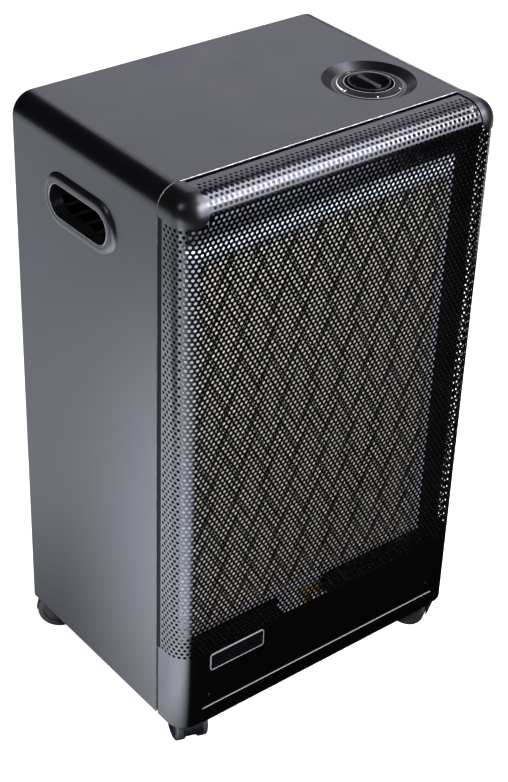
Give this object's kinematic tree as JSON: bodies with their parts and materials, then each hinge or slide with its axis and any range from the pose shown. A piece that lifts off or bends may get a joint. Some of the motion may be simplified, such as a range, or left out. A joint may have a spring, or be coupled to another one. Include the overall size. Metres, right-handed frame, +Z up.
{
  "type": "portable propane heater",
  "caption": "Floor-standing catalytic cabinet gas heater with a perforated front grille, sunk control knob, hand holes and castors.",
  "frame": {"origin": "on the ground under the middle of the heater", "axes": "+Z up, front faces -Y, +X to the right seen from the front"},
  "size_m": [0.4292, 0.3283, 0.7212],
  "materials": {
    "charcoal_coat": "satin powder coat",
    "black_coat": "satin black",
    "black_plastic": "fine grained",
    "gloss_plate": "gloss",
    "bright_steel": "satin",
    "zinc_steel": "zinc plated",
    "brass": "machined",
    "valve_alloy": "die cast",
    "fibre": "ceramic fibre",
    "board": "matt board",
    "porcelain": "glazed",
    "cable": "smooth",
    "wheel": "hard black"
  },
  "bodies": {
    "cabinet": {"cabinet_shell": "charcoal_coat", "base_plate": "black_coat", "front_grille": "black_coat", "lower_panel": "black_coat", "corner_cap_left": "black_plastic", "corner_cap_right": "black_plastic", "name_plate": "gloss_plate", "handle_ring_left": "black_plastic", "handle_ring_right": "black_plastic", "side_rail_left": "black_coat", "side_rail_right": "black_coat", "burner_tray": "zinc_steel", "insulation_board": "board", "catalytic_pad": "fibre", "pad_mesh": "zinc_steel", "burner_frame": "bright_steel", "heat_shield": "zinc_steel", "pilot_burner": "brass", "pilot_bracket": "bright_steel", "igniter_electrode": "porcelain", "thermocouple": "brass", "gas_injector": "brass", "frame_screws": "zinc_steel", "gas_valve": "valve_alloy", "valve_bracket": "zinc_steel", "knob_bezel": "black_plastic", "return_spring": "bright_steel", "piezo_igniter": "black_plastic", "ignition_lead": "cable", "burner_pipe": "brass", "pilot_pipe": "brass", "inlet_nozzle": "brass", "castor_screws": "zinc_steel", "castor_plate_fl": "zinc_steel", "castor_plate_fr": "zinc_steel", "castor_plate_rl": "zinc_steel", "castor_plate_rr": "zinc_steel"},
    "rear_cover": {"rear_cover": "charcoal_coat"},
    "press_collar": {"press_collar": "bright_steel"},
    "knob": {"knob": "black_plastic", "valve_spindle": "brass"},
    "castor_fl": {"castor_hood_fl": "black_plastic", "castor_axle_fl": "zinc_steel"},
    "wheel_fl_a": {"castor_wheel_fl_a": "wheel"},
    "wheel_fl_b": {"castor_wheel_fl_b": "wheel"},
    "castor_fr": {"castor_hood_fr": "black_plastic", "castor_axle_fr": "zinc_steel"},
    "wheel_fr_a": {"castor_wheel_fr_a": "wheel"},
    "wheel_fr_b": {"castor_wheel_fr_b": "wheel"},
    "castor_rl": {"castor_hood_rl": "black_plastic", "castor_axle_rl": "zinc_steel"},
    "wheel_rl_a": {"castor_wheel_rl_a": "wheel"},
    "wheel_rl_b": {"castor_wheel_rl_b": "wheel"},
    "castor_rr": {"castor_hood_rr": "black_plastic", "castor_axle_rr": "zinc_steel"},
    "wheel_rr_a": {"castor_wheel_rr_a": "wheel"},
    "wheel_rr_b": {"castor_wheel_rr_b": "wheel"}
  },
  "joints": [
    {"name": "rear_cover_lift", "type": "slide", "parent": "cabinet", "child": "rear_cover", "axis": [0, 0, 1], "range_m": [0, 0.012]},
    {"name": "knob_press", "type": "slide", "parent": "cabinet", "child": "press_collar", "axis": [0, 0, -1], "range_m": [0, 0.004], "stiffness_N_per_m": 900, "springref_m": -0.003, "deforming": ["return_spring"]},
    {"name": "knob_turn", "type": "hinge", "parent": "press_collar", "child": "knob", "pos_m": [0.126, -0.0415, 0.704], "axis": [0, 0, 1], "range_deg": [0, 215]},
    {"name": "front_left_swivel", "type": "hinge", "parent": "cabinet", "child": "castor_fl", "pos_m": [-0.1705, -0.117, 0.05], "axis": [0, 0, 1], "continuous": true},
    {"name": "front_left_wheel_a", "type": "hinge", "parent": "castor_fl", "child": "wheel_fl_a", "pos_m": [-0.17538, -0.13118, 0.024], "axis": [0.9455, -0.3256, 0], "continuous": true},
    {"name": "front_left_wheel_b", "type": "hinge", "parent": "castor_fl", "child": "wheel_fl_b", "pos_m": [-0.17538, -0.13118, 0.024], "axis": [0.9455, -0.3256, 0], "continuous": true},
    {"name": "front_right_swivel", "type": "hinge", "parent": "cabinet", "child": "castor_fr", "pos_m": [0.1705, -0.117, 0.05], "axis": [0, 0, 1], "continuous": true},
    {"name": "front_right_wheel_a", "type": "hinge", "parent": "castor_fr", "child": "wheel_fr_a", "pos_m": [0.178, -0.12999, 0.024], "axis": [0.866, 0.5, 0], "continuous": true},
    {"name": "front_right_wheel_b", "type": "hinge", "parent": "castor_fr", "child": "wheel_fr_b", "pos_m": [0.178, -0.12999, 0.024], "axis": [0.866, 0.5, 0], "continuous": true},
    {"name": "rear_left_swivel", "type": "hinge", "parent": "cabinet", "child": "castor_rl", "pos_m": [-0.1705, 0.121, 0.05], "axis": [0, 0, 1], "continuous": true},
    {"name": "rear_left_wheel_a", "type": "hinge", "parent": "castor_rl", "child": "wheel_rl_a", "pos_m": [-0.18165, 0.13104, 0.024], "axis": [-0.6691, -0.7431, 0], "continuous": true},
    {"name": "rear_left_wheel_b", "type": "hinge", "parent": "castor_rl", "child": "wheel_rl_b", "pos_m": [-0.18165, 0.13104, 0.024], "axis": [-0.6691, -0.7431, 0], "continuous": true},
    {"name": "rear_right_swivel", "type": "hinge", "parent": "cabinet", "child": "castor_rr", "pos_m": [0.1705, 0.121, 0.05], "axis": [0, 0, 1], "continuous": true},
    {"name": "rear_right_wheel_a", "type": "hinge", "parent": "castor_rr", "child": "wheel_rr_a", "pos_m": [0.17563, 0.13509, 0.024], "axis": [-0.9397, 0.342, 0], "continuous": true},
    {"name": "rear_right_wheel_b", "type": "hinge", "parent": "castor_rr", "child": "wheel_rr_b", "pos_m": [0.17563, 0.13509, 0.024], "axis": [-0.9397, 0.342, 0], "continuous": true}
  ]
}
